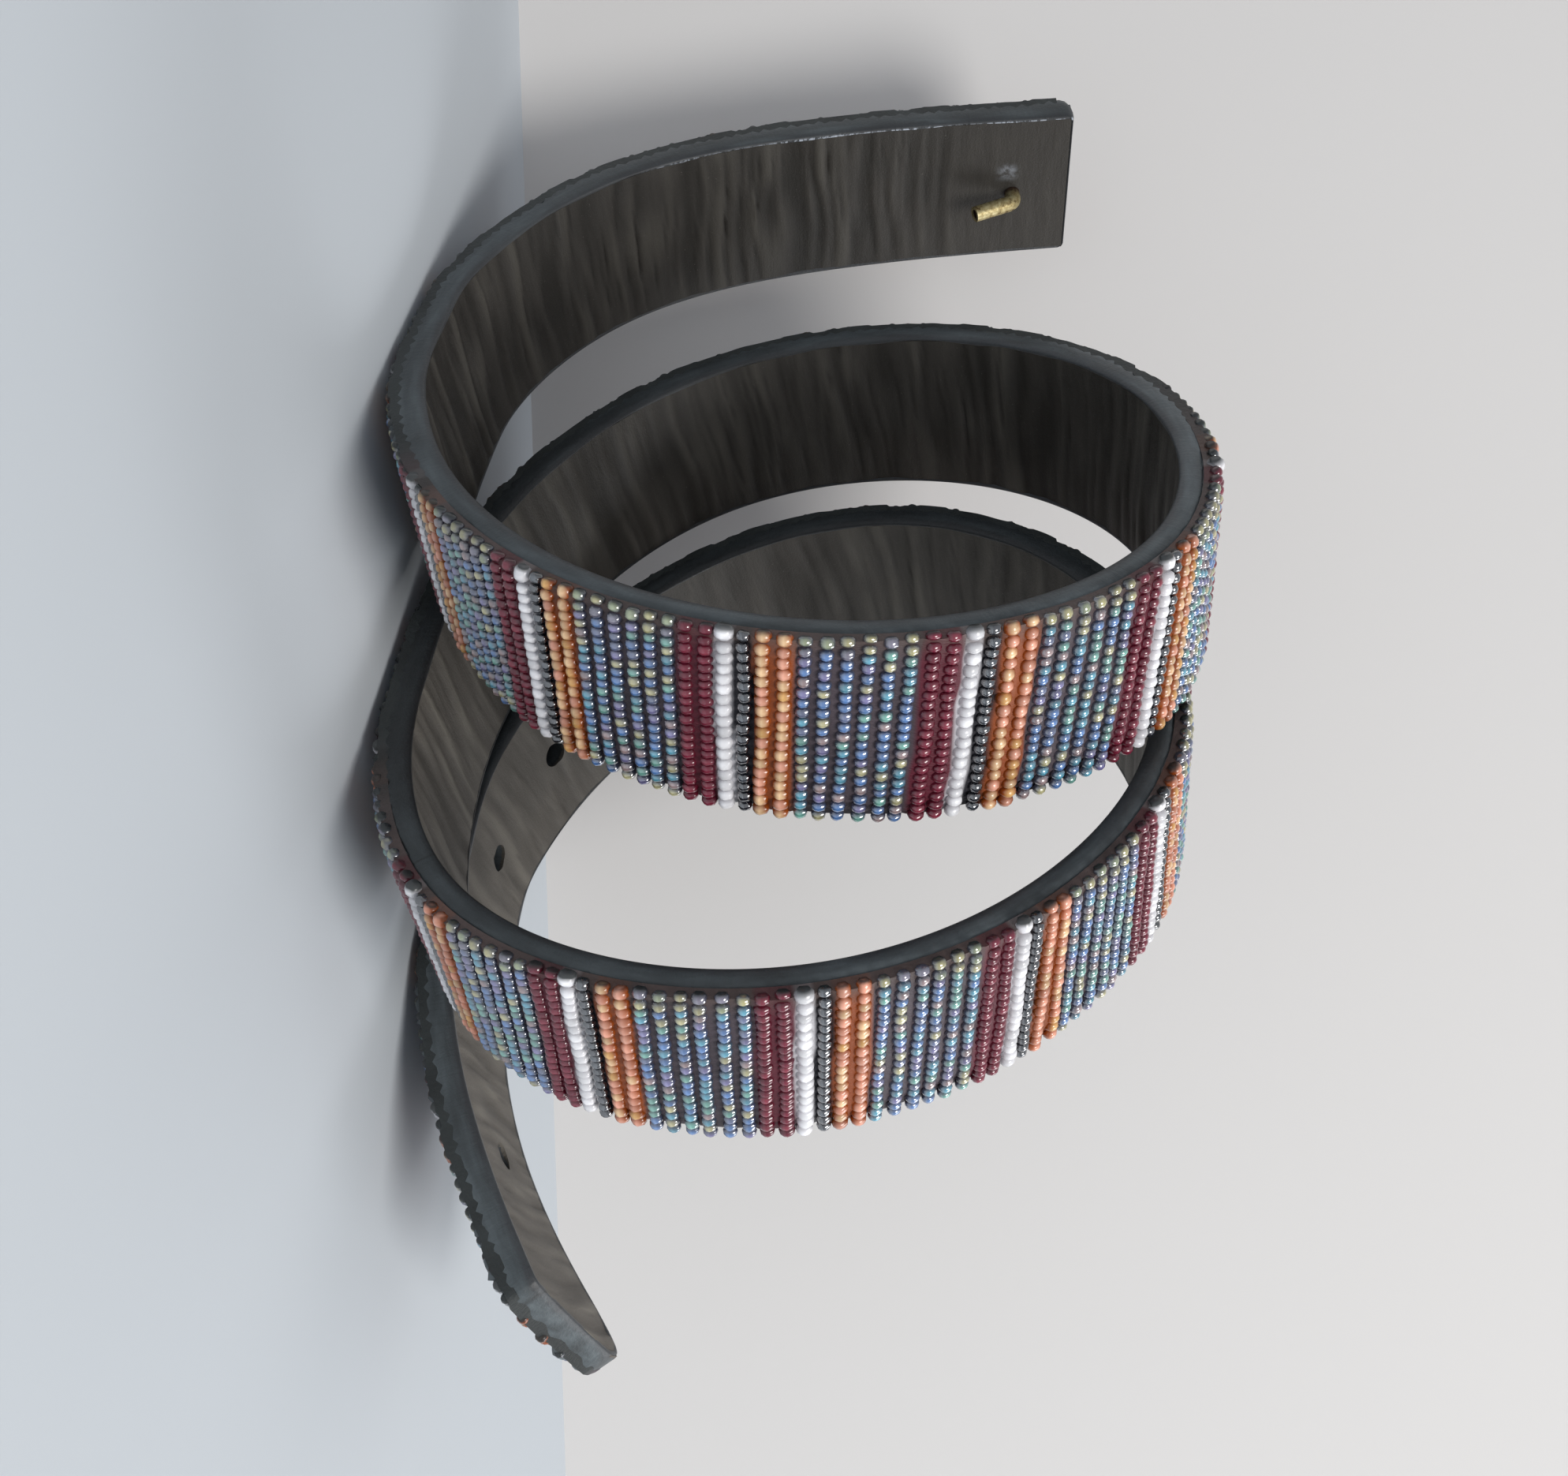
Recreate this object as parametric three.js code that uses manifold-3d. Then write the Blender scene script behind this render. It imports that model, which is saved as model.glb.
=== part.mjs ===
import * as THREE from "three";
import { mergeVertices } from "three/examples/jsm/utils/BufferGeometryUtils.js";
import Module from "manifold-3d";

const wasm = await Module();
wasm.setup();

// Named sizes, mm. Beaded leather belt lying on its side in a loose coil of two and a half turns.
const beltLength = 865;
const beltWidth = 27;
const liningThick = 1.0;
const leatherThick = 2.7;
const beadThick = 1.8;
const pieceGap = 0.3;
const edgeRound = 1.2;
const lipWidth = 1.1;
const coilLong = 120;
const coilDeep = 210;
const coilHigh = 124;
const centreAlong = -1.128;
const centreDeep = 3.325;
const pointStart = 854.9;
const columnPitch = 2.2233;
const holeDiameter = 4.4;
const holesAt = [762.2, 782.9, 807.6, 832.3];
const holeAcross = 1;
const firstColumn = 3.4;
const lastColumn = 862;
const liningInset = 0.8;
const stationStep = 8.4;
const restFlat = 0.45;
const restSink = 0.7;
// Closure hook: at and across place its foot, stand is its height over the lining, rise in degrees.
const hook = { at: 9.5, across: -0.04 * beltWidth, diameter: 2.6, bore: 1.7, boreDeep: 5, stand: 3.1, arm: 6.3, rise: 20, bend: 1.6 };

// Heights above the lining's inner face.
const leatherInner = liningThick + pieceGap;
const leatherOuter = leatherInner + leatherThick;
const beadInner = leatherOuter + pieceGap;
const beadOuter = beadInner + beadThick;

// Middle of the lining's inner face, rows at equal steps along the belt from the square end to the tail.
// along, deep and high are shares of the coil's sizes; lean turns the width about the belt's run, degrees.
const path = [
  { along: -0.340, deep: 0.416, high: 0.765, lean: -10.6 },
  { along: -0.367, deep: 0.372, high: 0.454, lean: -8.0 },
  { along: -0.388, deep: 0.281, high: 0.182, lean: -6.1 },
  { along: -0.379, deep: 0.115, high: 0.051, lean: -1.8 },
  { along: -0.360, deep: -0.064, high: 0.124, lean: -1.3 },
  { along: -0.340, deep: -0.185, high: 0.358, lean: -5.9 },
  { along: -0.299, deep: -0.193, high: 0.665, lean: -5.1 },
  { along: -0.246, deep: -0.069, high: 0.887, lean: 2.0 },
  { along: -0.210, deep: 0.111, high: 0.865, lean: 5.5 },
  { along: -0.183, deep: 0.223, high: 0.623, lean: 3.8 },
  { along: -0.168, deep: 0.201, high: 0.317, lean: 0.6 },
  { along: -0.140, deep: 0.064, high: 0.112, lean: 2.0 },
  { along: -0.093, deep: -0.116, high: 0.0615, lean: 4.5 },
  { along: -0.066, deep: -0.282, high: 0.179, lean: 1.1 },
  { along: -0.051, deep: -0.337, high: 0.472, lean: -0.1 },
  { along: -0.020, deep: -0.253, high: 0.746, lean: 4.3 },
  { along: -0.005, deep: -0.083, high: 0.882, lean: 3.0 },
  { along: -0.007, deep: 0.084, high: 0.741, lean: 4.3 },
  { along: 0.018, deep: 0.141, high: 0.449, lean: -0.2 },
  { along: 0.082, deep: 0.062, high: 0.174, lean: -1.2 },
  { along: 0.161, deep: -0.099, high: 0.051, lean: 0.1 },
  { along: 0.279, deep: -0.268, high: 0.102, lean: 8.2 },
  { along: 0.392, deep: -0.413, high: 0.268, lean: 19.2 },
];

// Slanted point of the tail: beyond is mm past pointStart, top and bottom are shares of half the width.
const tailPoint = [
  { beyond: 0, top: 1.0, bottom: -1.0 },
  { beyond: 2.5, top: 0.62, bottom: -0.97 },
  { beyond: 5.5, top: 0.14, bottom: -0.92 },
  { beyond: 8.0, top: -0.22, bottom: -0.84 },
  { beyond: 9.6, top: -0.46, bottom: -0.70 },
];

// Natural cubic spline through equally spaced values; returns a function of the share 0 to 1.
function spline(values) {
  const n = values.length;
  const second = new Array(n).fill(0);
  const work = new Array(n).fill(0);
  for (let i = 1; i < n - 1; i++) {
    const p = 0.5 * second[i - 1] + 2;
    second[i] = -0.5 / p;
    const bend = values[i + 1] - 2 * values[i] + values[i - 1];
    work[i] = (3 * bend - 0.5 * work[i - 1]) / p;
  }
  for (let i = n - 2; i >= 0; i--) second[i] = second[i] * second[i + 1] + work[i];
  return (share) => {
    const at = share * (n - 1);
    const i = Math.max(0, Math.min(n - 2, Math.floor(at)));
    const b = at - i;
    const a = 1 - b;
    return a * values[i] + b * values[i + 1] + ((a ** 3 - a) * second[i] + (b ** 3 - b) * second[i + 1]) / 6;
  };
}

const alongAt = spline(path.map((row) => row.along * coilLong));
const deepAt = spline(path.map((row) => row.deep * coilDeep));
const highAt = spline(path.map((row) => row.high * coilHigh));
const leanAt = spline(path.map((row) => row.lean * Math.PI / 180));

// The lowest bands rest on their bead faces: heights below the rest height are rounded up to it.
function restHeight(high) {
  const over = high - restSink - beadOuter;
  return beadOuter + restFlat * Math.log(1 + Math.exp(over / restFlat));
}

function middle(s) {
  const share = s / beltLength;
  return new THREE.Vector3(alongAt(share) - centreAlong, deepAt(share) - centreDeep, restHeight(highAt(share)));
}

// Middle, run, width and outward directions of the belt at s mm from the square end.
function frameAt(s) {
  const origin = middle(s);
  const run = middle(s + 0.5).sub(middle(s - 0.5)).normalize();
  const axis = new THREE.Vector3(-1, 0, 0);
  const level = axis.addScaledVector(run, -axis.dot(run)).normalize();
  const side = new THREE.Vector3().crossVectors(run, level);
  const lean = leanAt(s / beltLength);
  const width = level.multiplyScalar(Math.cos(lean)).addScaledVector(side, Math.sin(lean));
  const grounded = Math.exp(-Math.max(0, origin.z - beadOuter) / 1.5);
  width.z *= 1 - grounded;
  width.addScaledVector(run, -width.dot(run)).normalize();
  const out = new THREE.Vector3().crossVectors(run, width);
  return { origin, run, width, out };
}

// Lower and upper edge of the belt across its width at s, mm from the middle.
function edgesAt(s) {
  const half = beltWidth / 2;
  const beyond = s - pointStart;
  if (beyond <= 0) return { bottom: -half, top: half };
  for (let i = 1; i < tailPoint.length; i++) {
    const a = tailPoint[i - 1];
    const b = tailPoint[i];
    if (beyond > b.beyond && i < tailPoint.length - 1) continue;
    const u = (beyond - a.beyond) / (b.beyond - a.beyond);
    return { bottom: (a.bottom + (b.bottom - a.bottom) * u) * half, top: (a.top + (b.top - a.top) * u) * half };
  }
}

function place(s, across, height) {
  const f = frameAt(s);
  return f.origin.addScaledVector(f.width, across).addScaledVector(f.out, height);
}

function stationsBetween(from, to, step) {
  const count = Math.ceil((to - from) / step);
  return Array.from({ length: count + 1 }, (_, i) => from + (to - from) * i / count);
}

// Closed loft along the belt: every section is an anticlockwise ring of [across, height] pairs.
// Both faces of a sheet split their quads along the same diagonal, so nested sheets keep their gap.
function loft(stations, ringAt) {
  const flat = stations.map((s) => ringAt(s));
  const count = flat[0].length;
  const points = [];
  const faces = [];
  stations.forEach((s, i) => {
    for (const [across, height] of flat[i]) points.push(...place(s, across, height).toArray());
  });
  for (let i = 0; i < stations.length - 1; i++) {
    for (let j = 0; j < count; j++) {
      const a = i * count + j;
      const b = i * count + (j + 1) % count;
      const backward = flat[i][j][0] > flat[i][(j + 1) % count][0];
      if (backward) faces.push(a, b, b + count, a, b + count, a + count);
      else faces.push(a, b, a + count, b, b + count, a + count);
    }
  }
  const cap = (ring) => THREE.ShapeUtils.triangulateShape(ring.map(([x, y]) => new THREE.Vector2(x, y)), []);
  const last = (stations.length - 1) * count;
  for (const [a, b, c] of cap(flat[0])) faces.push(c, b, a);
  for (const [a, b, c] of cap(flat[stations.length - 1])) faces.push(last + a, last + b, last + c);
  return indexed(points, faces);
}

function indexed(points, faces) {
  const geometry = new THREE.BufferGeometry();
  geometry.setAttribute("position", new THREE.Float32BufferAttribute(points, 3));
  geometry.setIndex(faces);
  return geometry;
}

function toManifold(geometry) {
  const bare = geometry.clone();
  bare.deleteAttribute("normal");
  bare.deleteAttribute("uv");
  const welded = mergeVertices(bare, 1e-5);
  return new wasm.Manifold(new wasm.Mesh({
    numProp: 3,
    vertProperties: new Float32Array(welded.attributes.position.array),
    triVerts: new Uint32Array(welded.index.array),
  }));
}

function fromManifold(solid) {
  const mesh = solid.getMesh();
  return indexed(Array.from(mesh.vertProperties), Array.from(mesh.triVerts));
}

// Round plug across the belt's thickness at s, from one height to another.
function plug(s, across, diameter, from, to) {
  const f = frameAt(s);
  const cylinder = new THREE.CylinderGeometry(diameter / 2, diameter / 2, to - from, 16);
  const turn = new THREE.Matrix4().makeBasis(f.width, f.out, new THREE.Vector3().crossVectors(f.width, f.out));
  turn.setPosition(place(s, across, (from + to) / 2));
  cylinder.applyMatrix4(turn);
  return toManifold(cylinder);
}

// Rim of the belt at s: how far the corners are rounded and how wide the turned edge is.
function rimAt(s) {
  const { bottom, top } = edgesAt(s);
  const round = Math.min(edgeRound, (top - bottom) * 0.2);
  const lip = Math.min(lipWidth + round * 0.6, (top - bottom) * 0.28);
  return { bottom, top, round, lip };
}

// Leather body: rounded edges and a shallow bed for the lining on its inner face.
function leatherRing(s) {
  const { bottom, top, round, lip } = rimAt(s);
  return [
    [bottom + round * 0.6, 0], [bottom + lip, 0], [bottom + lip, leatherInner], [top - lip, leatherInner],
    [top - lip, 0], [top - round * 0.6, 0], [top, round * 0.9], [top, leatherOuter - round * 0.9],
    [top - round * 0.8, leatherOuter], [bottom + round * 0.8, leatherOuter],
    [bottom, leatherOuter - round * 0.9], [bottom, round * 0.9],
  ];
}

// Lining: a thin sheet laid in the bed with a gap all round.
function liningRing(s) {
  const { bottom, top, lip } = rimAt(s);
  const low = bottom + lip + pieceGap;
  const high = top - lip - pieceGap;
  return [[low, 0], [high, 0], [high, liningThick], [low, liningThick]];
}

// Bead field: one rib for each column of beads that runs across the belt.
const ribDeep = 0.85;
const beadInset = 0.2;
const columnCount = Math.floor((lastColumn - firstColumn) / columnPitch);

function beadRing(s) {
  const { bottom, top } = edgesAt(s);
  const crest = Math.abs(Math.round((s - firstColumn) / columnPitch) * columnPitch + firstColumn - s) > columnPitch / 4;
  const height = crest ? beadOuter : beadOuter - ribDeep;
  const low = bottom + beadInset;
  const high = top - beadInset;
  return [[low, beadInner], [high, beadInner], [high, height], [low, height]];
}

// Closure hook: a bent brass tube, drawn in the plane of the belt's run and thickness.
function hookSolid() {
  const f = frameAt(hook.at);
  const rise = hook.rise * Math.PI / 180;
  const line = [[0, leatherOuter - 0.1], [0, hook.bend - hook.stand]];
  for (let i = 1; i <= 4; i++) {
    const turn = (Math.PI / 2 - rise) * i / 4;
    line.push([hook.bend * (1 - Math.cos(turn)), hook.bend - hook.stand - hook.bend * Math.sin(turn)]);
  }
  const [bendRun, bendHeight] = line[line.length - 1];
  line.push([bendRun + hook.arm * Math.cos(rise), bendHeight - hook.arm * Math.sin(rise)]);
  const tube = roundBar(f, line, hook.diameter / 2);
  const end = line[line.length - 1];
  const deep = [end[0] - hook.boreDeep * Math.cos(rise), end[1] + hook.boreDeep * Math.sin(rise)];
  const past = [end[0] + Math.cos(rise), end[1] - Math.sin(rise)];
  return toManifold(tube).subtract(toManifold(roundBar(f, [deep, past], hook.bore / 2)));
}

function roundBar(f, line, radius) {
  const sides = 14;
  const centre = f.origin.clone().addScaledVector(f.width, hook.across);
  const points = [];
  const faces = [];
  line.forEach(([run, height], i) => {
    const a = line[Math.max(0, i - 1)];
    const b = line[Math.min(line.length - 1, i + 1)];
    const along = new THREE.Vector2(b[0] - a[0], b[1] - a[1]).normalize();
    for (let j = 0; j < sides; j++) {
      const turn = 2 * Math.PI * j / sides;
      const p = centre.clone()
        .addScaledVector(f.run, run - along.y * Math.sin(turn) * radius)
        .addScaledVector(f.out, height + along.x * Math.sin(turn) * radius)
        .addScaledVector(f.width, Math.cos(turn) * radius);
      points.push(...p.toArray());
    }
  });
  for (let i = 0; i < line.length - 1; i++) {
    for (let j = 0; j < sides; j++) {
      const a = i * sides + j;
      const b = i * sides + (j + 1) % sides;
      faces.push(a, b, a + sides, b, b + sides, a + sides);
    }
  }
  const last = (line.length - 1) * sides;
  for (let j = 1; j < sides - 1; j++) faces.push(0, j + 1, j, last, last + j, last + j + 1);
  return indexed(points, faces);
}

const bodyEnd = pointStart + tailPoint[tailPoint.length - 1].beyond;
const stations = [...stationsBetween(0, pointStart, stationStep), ...tailPoint.slice(1).map((row) => pointStart + row.beyond)];
const liningStations = [liningInset, ...stations.slice(1, -1)];
const beadStations = Array.from({ length: 2 * columnCount + 1 }, (_, i) => firstColumn + columnPitch * i / 2);
const tailHoles = holesAt.map((s) => plug(s, holeAcross, holeDiameter, -4, beadOuter + 4));
const hookHole = plug(hook.at, hook.across, hook.diameter + 2 * pieceGap, -2, leatherOuter + 0.2);

const cut = (solid, tools) => tools.reduce((left, tool) => left.subtract(tool), solid);
const leather = cut(toManifold(loft(stations, leatherRing)), [...tailHoles, hookHole]);
const lining = cut(toManifold(loft(liningStations, liningRing)), [...tailHoles, hookHole]);
const beads = cut(toManifold(loft(beadStations, beadRing)), tailHoles);

const belt = new THREE.Group();
belt.name = "beaded_belt";
const pieces = [
  { name: "leather_strap", solid: leather, color: 0x3c4448, roughness: 0.5, metalness: 0 },
  { name: "inner_lining", solid: lining, color: 0x4a4640, roughness: 0.75, metalness: 0 },
  { name: "bead_rows", solid: beads, color: 0x5c6a86, roughness: 0.3, metalness: 0 },
  { name: "closure_hook", solid: hookSolid(), color: 0xa58a4a, roughness: 0.4, metalness: 1 },
];
for (const { name, solid, ...look } of pieces) {
  const geometry = fromManifold(solid);
  geometry.computeVertexNormals();
  const mesh = new THREE.Mesh(geometry, new THREE.MeshStandardMaterial(look));
  mesh.name = name;
  belt.add(mesh);
}

export default belt;
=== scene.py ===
import math

import bpy
import numpy as np
from mathutils import Matrix, Vector


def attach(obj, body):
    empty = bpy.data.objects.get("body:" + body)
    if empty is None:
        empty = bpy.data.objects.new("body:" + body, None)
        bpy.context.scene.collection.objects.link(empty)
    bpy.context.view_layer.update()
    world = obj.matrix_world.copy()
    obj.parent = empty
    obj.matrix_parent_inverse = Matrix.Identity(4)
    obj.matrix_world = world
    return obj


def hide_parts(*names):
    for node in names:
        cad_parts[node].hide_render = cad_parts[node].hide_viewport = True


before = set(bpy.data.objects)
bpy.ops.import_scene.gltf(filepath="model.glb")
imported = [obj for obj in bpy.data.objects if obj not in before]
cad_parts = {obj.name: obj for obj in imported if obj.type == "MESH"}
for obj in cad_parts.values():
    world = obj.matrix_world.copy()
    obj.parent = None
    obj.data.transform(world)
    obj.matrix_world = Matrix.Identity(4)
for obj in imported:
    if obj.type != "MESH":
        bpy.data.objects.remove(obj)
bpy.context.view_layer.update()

# Named sizes in mm, as in the part's source. Pieces are modelled flat and then wound into the coil.
BELT_LENGTH = 865.0
BELT_WIDTH = 27.0
LINING_THICK = 1.0
LEATHER_OUTER = 4.0
BEAD_OUTER = 6.1
COIL_LONG = 120.0
COIL_DEEP = 210.0
COIL_HIGH = 124.0
CENTRE_ALONG = -1.128
CENTRE_DEEP = 3.325
POINT_START = 854.9
REST_FLAT = 0.45
REST_SINK = 0.7
HOLES_AT = (762.2, 782.9, 807.6, 832.3)
HOLE_ACROSS = 1.0
HOLE_DIAMETER = 4.4

# Middle of the lining's inner face at equal steps along the belt, as shares of the coil's sizes.
PATH = [
    # along, deep, high, lean in degrees
    (-0.340, 0.416, 0.765, -10.6),
    (-0.367, 0.372, 0.454, -8.0),
    (-0.388, 0.281, 0.182, -6.1),
    (-0.379, 0.115, 0.051, -1.8),
    (-0.360, -0.064, 0.124, -1.3),
    (-0.340, -0.185, 0.358, -5.9),
    (-0.299, -0.193, 0.665, -5.1),
    (-0.246, -0.069, 0.887, 2.0),
    (-0.210, 0.111, 0.865, 5.5),
    (-0.183, 0.223, 0.623, 3.8),
    (-0.168, 0.201, 0.317, 0.6),
    (-0.140, 0.064, 0.112, 2.0),
    (-0.093, -0.116, 0.0615, 4.5),
    (-0.066, -0.282, 0.179, 1.1),
    (-0.051, -0.337, 0.472, -0.1),
    (-0.020, -0.253, 0.746, 4.3),
    (-0.005, -0.083, 0.882, 3.0),
    (-0.007, 0.084, 0.741, 4.3),
    (0.018, 0.141, 0.449, -0.2),
    (0.082, 0.062, 0.174, -1.2),
    (0.161, -0.099, 0.051, 0.1),
    (0.279, -0.268, 0.102, 8.2),
    (0.392, -0.413, 0.268, 19.2),
]

# Slanted point of the tail: mm past its start, upper and lower edge as shares of half the width.
TAIL_POINT = [
    (0.0, 1.0, -1.0), (2.5, 0.62, -0.97), (5.5, 0.14, -0.92), (8.0, -0.22, -0.84), (9.6, -0.46, -0.70),
]


def spline(values):
    """Natural cubic spline through equally spaced values, read at shares from 0 to 1."""
    values = np.array(values, float)
    count = len(values)
    matrix = np.zeros((count, count))
    right = np.zeros(count)
    matrix[0, 0] = matrix[-1, -1] = 1.0
    for i in range(1, count - 1):
        matrix[i, i - 1:i + 2] = 1.0, 4.0, 1.0
        right[i] = 6.0 * (values[i + 1] - 2 * values[i] + values[i - 1])
    bend = np.linalg.solve(matrix, right)

    def read(share):
        at = np.asarray(share, float) * (count - 1)
        i = np.clip(np.floor(at).astype(int), 0, count - 2)
        b = at - i
        a = 1.0 - b
        return a * values[i] + b * values[i + 1] + ((a**3 - a) * bend[i] + (b**3 - b) * bend[i + 1]) / 6.0

    return read


ALONG = spline([row[0] * COIL_LONG for row in PATH])
DEEP = spline([row[1] * COIL_DEEP for row in PATH])
HIGH = spline([row[2] * COIL_HIGH for row in PATH])
LEAN = spline([math.radians(row[3]) for row in PATH])


def middle(s):
    share = s / BELT_LENGTH
    over = HIGH(share) - REST_SINK - BEAD_OUTER
    rest = BEAD_OUTER + REST_FLAT * np.logaddexp(0.0, over / REST_FLAT)
    return np.stack([ALONG(share) - CENTRE_ALONG, DEEP(share) - CENTRE_DEEP, rest], -1)


def unit(v):
    return v / np.linalg.norm(v, axis=-1, keepdims=True)


def frames(s):
    """Middle, run, width and outward directions of the belt at each s mm from the square end."""
    s = np.asarray(s, float)
    origin = middle(s)
    run = unit(middle(s + 0.5) - middle(s - 0.5))
    level = unit(np.array([-1.0, 0.0, 0.0]) + run * run[..., :1])
    side = np.cross(run, level)
    lean = LEAN(s / BELT_LENGTH)[..., None]
    width = level * np.cos(lean) + side * np.sin(lean)
    width[..., 2] *= 1.0 - np.exp(-np.maximum(0.0, origin[..., 2] - BEAD_OUTER) / 1.5)
    width = unit(width - run * (width * run).sum(-1, keepdims=True))
    return origin, run, width, np.cross(run, width)


def wind(flat):
    """Carries flat points in mm (along, across, height over the lining) to the coil, in metres."""
    origin, _, width, out = frames(flat[:, 0])
    return (origin + width * flat[:, 1:2] + out * flat[:, 2:3]) * 0.001


def edges(s):
    """Lower and upper edge of the belt at s, mm from its middle line."""
    beyond = np.asarray(s, float) - POINT_START
    steps = [row[0] for row in TAIL_POINT]
    top = np.interp(beyond, steps, [row[1] for row in TAIL_POINT])
    bottom = np.interp(beyond, steps, [row[2] for row in TAIL_POINT])
    return bottom * BELT_WIDTH / 2, top * BELT_WIDTH / 2


def ripple(seed, length, step):
    """Smooth chance wave along the belt, about -1 to 1, with bumps about step mm long."""
    count = int(length / step) + 4
    knots = np.random.default_rng(seed).normal(0.0, 0.45, count)
    read = spline(knots)
    return lambda s: read(np.clip(s / (step * (count - 1)), 0.0, 1.0))


# Shader helpers: a Number is a socket that takes part in Python sums.
class Number:
    def __init__(self, finish, socket):
        self.finish = finish
        self.socket = socket

    def sum_of(self, operation, a, b):
        return self.finish.node("ShaderNodeMath", {"operation": operation}, {0: a, 1: b})

    def __add__(self, other):
        return self.sum_of("ADD", self, other)

    def __radd__(self, other):
        return self.sum_of("ADD", other, self)

    def __sub__(self, other):
        return self.sum_of("SUBTRACT", self, other)

    def __rsub__(self, other):
        return self.sum_of("SUBTRACT", other, self)

    def __mul__(self, other):
        return self.sum_of("MULTIPLY", self, other)

    def __rmul__(self, other):
        return self.sum_of("MULTIPLY", other, self)

    def __pow__(self, other):
        return self.sum_of("POWER", self, other)


class Finish:
    """A node material with one Principled shader."""

    def __init__(self, name, **constants):
        self.material = bpy.data.materials.new(name)
        self.material.use_nodes = True
        self.tree = self.material.node_tree
        self.tree.nodes.clear()
        output = self.tree.nodes.new("ShaderNodeOutputMaterial")
        self.shader = self.tree.nodes.new("ShaderNodeBsdfPrincipled")
        self.tree.links.new(self.shader.outputs[0], output.inputs[0])
        for key, value in constants.items():
            self.set(key.replace("_", " ").title().replace("Ior", "IOR"), value)

    def set(self, socket, value):
        self.plug(self.shader.inputs[socket], value)

    def plug(self, socket, value):
        if isinstance(value, Number):
            self.tree.links.new(value.socket, socket)
        elif isinstance(value, tuple) and len(value) == 3 and socket.type == "RGBA":
            socket.default_value = (*value, 1.0)
        else:
            socket.default_value = value

    def node(self, kind, settings=None, inputs=None, output=0):
        made = self.tree.nodes.new(kind)
        for key, value in (settings or {}).items():
            if key == "stops":
                ramp = made.color_ramp
                while len(ramp.elements) < len(value):
                    ramp.elements.new(0.5)
                for element, (place, colour) in zip(ramp.elements, value):
                    element.position = place
                    element.color = (*colour, 1.0)
            else:
                setattr(made, key, value)
        for key, value in (inputs or {}).items():
            self.plug(made.inputs[key], value)
        return Number(self, made.outputs[output])

    def noise(self, vector, scale, detail=2.0, roughness=0.5):
        inputs = {"Vector": vector, "Scale": scale, "Detail": detail, "Roughness": roughness}
        return self.node("ShaderNodeTexNoise", {}, inputs)

    def lay(self, stretch=(1.0, 1.0, 1.0)):
        """The piece's own flat coordinates in mm, stretched for streaks."""
        return self.node("ShaderNodeMapping", {}, {"Vector": self.kept("lay", "Vector"), "Scale": stretch})

    def parts(self, vector):
        """The three coordinates of a vector."""
        split = self.node("ShaderNodeSeparateXYZ", {}, {0: vector}).socket.node
        return [Number(self, output) for output in split.outputs]

    def kept(self, name, output="Fac"):
        """A value or colour that the mesh keeps at its points."""
        return self.node("ShaderNodeAttribute", {"attribute_name": name}, {}, output)

    def blend(self, factor, first, second):
        return self.node("ShaderNodeMix", {"data_type": "RGBA"}, {0: factor, 6: first, 7: second}, 2)

    def scaled(self, colour, factor):
        return self.node("ShaderNodeVectorMath", {"operation": "SCALE"}, {0: colour, "Scale": factor})

    def step(self, value, low, high):
        """1 past high and 0 before low, or the other way round where low is the greater."""
        settings = {"interpolation_type": "SMOOTHSTEP"}
        if low < high:
            rising = {"Value": value, "From Min": low, "From Max": high}
            return self.node("ShaderNodeMapRange", settings, rising)
        falling = {"Value": value, "From Min": high, "From Max": low, "To Min": 1.0, "To Max": 0.0}
        return self.node("ShaderNodeMapRange", settings, falling)

    def hump(self, value, centre, reach):
        """1 at the centre, fading to 0 at reach on either side."""
        far = self.node("ShaderNodeMath", {"operation": "ABSOLUTE"}, {0: value - centre})
        return self.step(far, reach, 0.0)

    def ramp(self, value, stops):
        return self.node("ShaderNodeValToRGB", {"stops": stops}, {0: value})

    def bump(self, height, strength, distance):
        inputs = {"Strength": strength, "Distance": distance, "Height": height}
        self.set("Normal", self.node("ShaderNodeBump", {}, inputs))


def select_only(obj):
    bpy.ops.object.select_all(action="DESELECT")
    obj.select_set(True)
    bpy.context.view_layer.objects.active = obj


def apply_modifier(obj, kind, **settings):
    select_only(obj)
    modifier = obj.modifiers.new(kind.title(), kind)
    for key, value in settings.items():
        setattr(modifier, key, value)
    bpy.ops.object.modifier_apply(modifier=modifier.name)


def flat_points(obj):
    flat = np.empty(len(obj.data.vertices) * 3)
    obj.data.vertices.foreach_get("co", flat)
    return flat.reshape(-1, 3)


def put_points(obj, points, flat):
    """Places the mesh and keeps its flat coordinates as the attribute lay."""
    obj.data.vertices.foreach_set("co", points.astype(np.float32).ravel())
    lay = obj.data.attributes.new("lay", "FLOAT_VECTOR", "POINT")
    lay.data.foreach_set("vector", flat.astype(np.float32).ravel())
    obj.data.update()


def dress(obj, name, finish, slot, *nodes):
    obj.name = name
    obj.data.name = name
    obj.data.materials.clear()
    obj.data.materials.append(finish.material)
    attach(obj, "root")
    if nodes:
        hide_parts(*nodes)


def flat_sheet(length, width, cells_along, cells_across, start=0.0):
    """A plain flat grid, from start along the belt, with its width about the middle line."""
    bpy.ops.object.select_all(action="DESELECT")
    bpy.ops.mesh.primitive_grid_add(x_subdivisions=cells_along, y_subdivisions=cells_across, size=1.0)
    sheet = bpy.context.object
    bpy.ops.object.mode_set(mode="EDIT")
    bpy.ops.mesh.select_all(action="SELECT")
    bpy.ops.transform.resize(value=(length, width, 1.0))
    bpy.ops.transform.translate(value=(start + length / 2, 0.0, 0.0))
    bpy.ops.object.mode_set(mode="OBJECT")
    return sheet


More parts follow.
